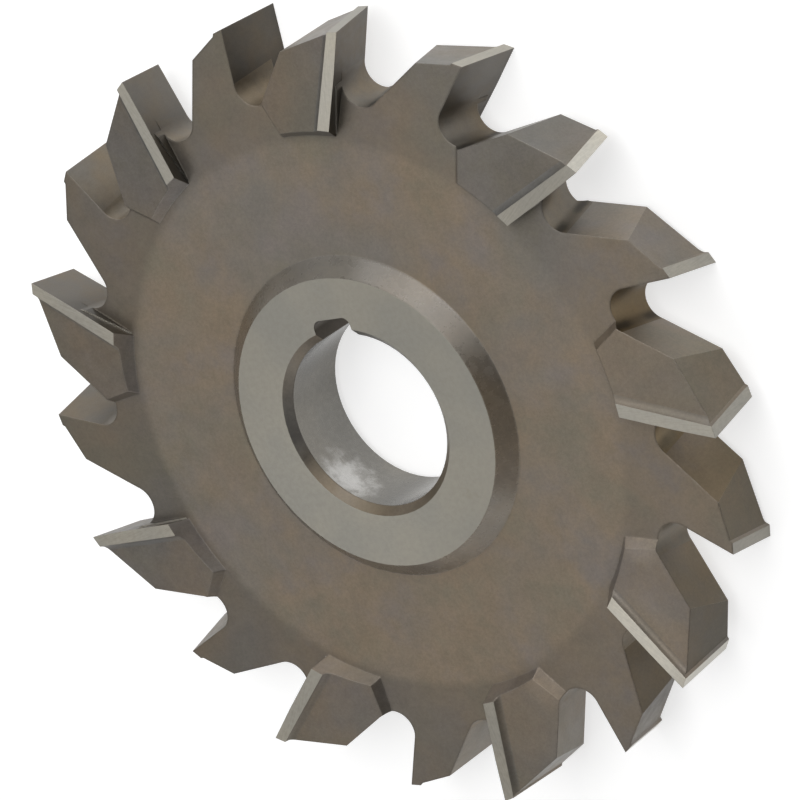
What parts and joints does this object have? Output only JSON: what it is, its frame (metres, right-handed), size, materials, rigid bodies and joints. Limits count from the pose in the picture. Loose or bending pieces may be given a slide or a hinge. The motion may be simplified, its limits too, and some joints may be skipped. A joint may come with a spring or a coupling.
{
  "type": "side and face milling cutter",
  "caption": "Solid steel disc milling cutter with staggered teeth that lean left and right in turn, ground edges on rim and sides, raised hub and a keyed arbor bore.",
  "frame": {"origin": "on the cutter axis, in the middle of the width, inside the bore", "axes": "+Z along the cutter axis toward the side shown in the picture, +Y toward the keyway; seen from +Z the tooth faces point clockwise"},
  "size_m": [0.1136, 0.1142, 0.0128],
  "materials": {
    "tool_steel": "matte brown-grey heat oxide on the body, bright ground hub faces, bore and cutting lands"
  },
  "bodies": {
    "root": {"cutter": "tool_steel"}
  },
  "joints": []
}
